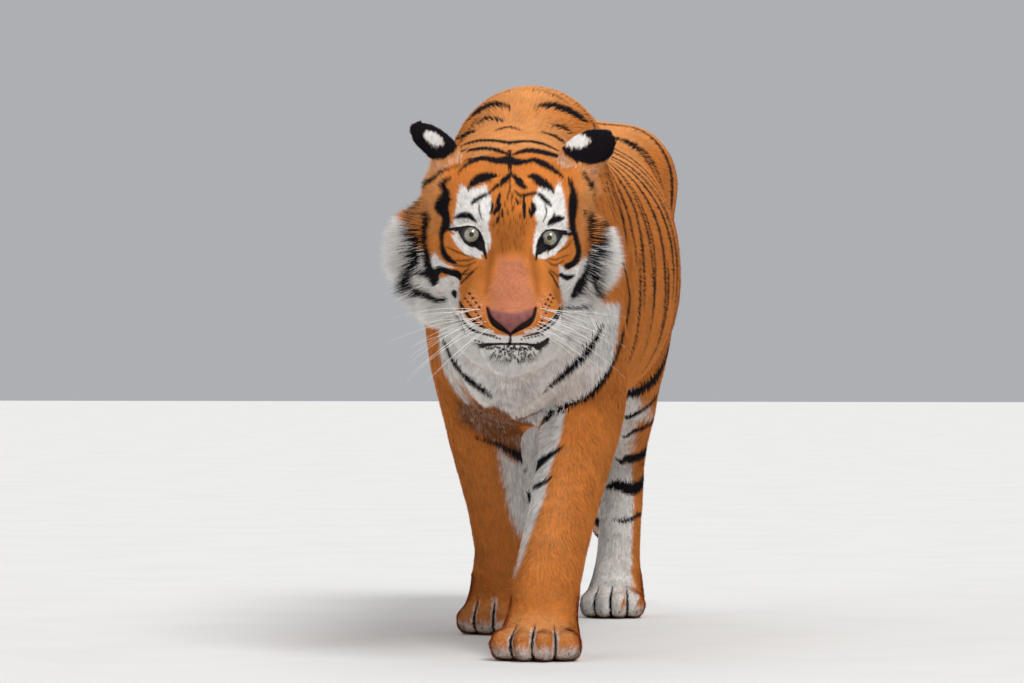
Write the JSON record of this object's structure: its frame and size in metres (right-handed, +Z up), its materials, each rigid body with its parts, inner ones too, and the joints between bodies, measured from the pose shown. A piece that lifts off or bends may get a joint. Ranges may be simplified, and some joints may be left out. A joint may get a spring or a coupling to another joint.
{
  "type": "life-size tiger model",
  "caption": "Life-size museum model of a tiger walking forward with its head held low, standing on four flat soles.",
  "frame": {"origin": "on the floor, under the middle of the whole model", "axes": "+Z up, -Y the way the tiger walks and faces, +X its left side"},
  "size_m": [0.4082, 2.036, 0.8848],
  "materials": {
    "coat": "short orange fur with black stripes and white underparts",
    "white_coat": "soft white fur",
    "ear_coat": "short black fur with a white spot behind",
    "nose_leather": "moist pebbled pink-brown skin",
    "eye": "glossy pale yellow-grey iris under a clear cornea",
    "whisker": "stiff white hair",
    "claw": "smooth horn"
  },
  "bodies": {
    "root": {"barrel": "coat", "chest": "coat", "head": "coat", "hindquarters": "coat", "left_ear": "ear_coat", "left_eye": "eye", "left_fore_paw": "coat", "left_forearm": "coat", "left_hind_foot": "coat", "left_hind_paw": "coat", "left_shank": "coat", "left_shoulder": "coat", "left_thigh": "coat", "lower_jaw": "white_coat", "neck": "coat", "nose": "nose_leather", "right_ear": "ear_coat", "right_eye": "eye", "right_fore_paw": "coat", "right_forearm": "coat", "right_hind_foot": "coat", "right_hind_paw": "coat", "right_shank": "coat", "right_shoulder": "coat", "right_thigh": "coat", "tail_end": "coat", "tail_lower": "coat", "tail_root": "coat", "tail_upper": "coat"}
  },
  "joints": []
}
